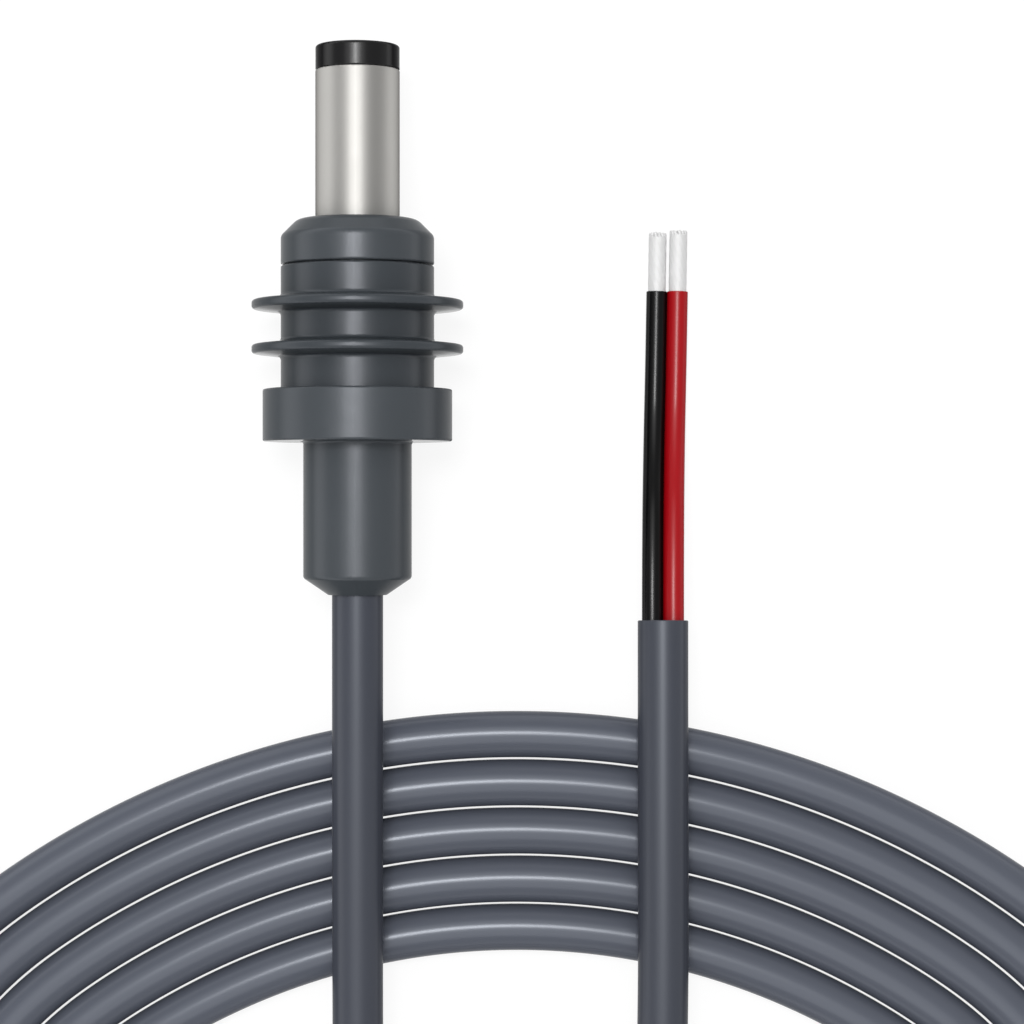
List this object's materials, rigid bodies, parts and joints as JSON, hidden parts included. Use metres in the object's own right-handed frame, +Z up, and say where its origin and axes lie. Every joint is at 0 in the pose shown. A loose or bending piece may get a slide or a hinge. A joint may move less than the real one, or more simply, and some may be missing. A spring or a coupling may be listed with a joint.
{
  "type": "dc power pigtail cable",
  "caption": "Straight sealed barrel power plug moulded onto a coiled round two-core cable that ends in bare tinned black and red leads.",
  "frame": {"origin": "bottom centre of the plug as it lies: the middle of its length and width, on the table", "axes": "+Y along the plug's axis towards its tip, +Z up from the table, +X to the leads' side"},
  "size_m": [0.0936, 0.1051, 0.0138],
  "materials": {
    "overmould": "satin moulded PVC",
    "seal_rubber": "satin rubber",
    "nickel_plate": "smooth bright nickel plate",
    "black_insulator": "polished moulding",
    "contact_metal": "plated spring brass",
    "inner_mould": "plain",
    "cable_jacket": "satin extruded PVC",
    "black_insulation": "smooth extruded PVC",
    "red_insulation": "smooth extruded PVC",
    "tinned_copper": "solder-tinned strands"
  },
  "bodies": {
    "root": {"plug_body": "overmould", "seal_sleeve": "seal_rubber", "barrel_sleeve": "nickel_plate", "tip_insulator": "black_insulator", "centre_contact": "contact_metal", "rear_insulator": "black_insulator", "inner_mould": "inner_mould", "sleeve_solder": "tinned_copper", "contact_solder": "tinned_copper", "black_core_end": "black_insulation", "red_core_end": "red_insulation", "black_core_strands": "tinned_copper", "red_core_strands": "tinned_copper", "cable_plug_tail": "cable_jacket", "cable_coil": "cable_jacket", "cable_wire_tail": "cable_jacket", "black_wire": "black_insulation", "red_wire": "red_insulation", "black_wire_tip": "tinned_copper", "red_wire_tip": "tinned_copper"}
  },
  "joints": []
}
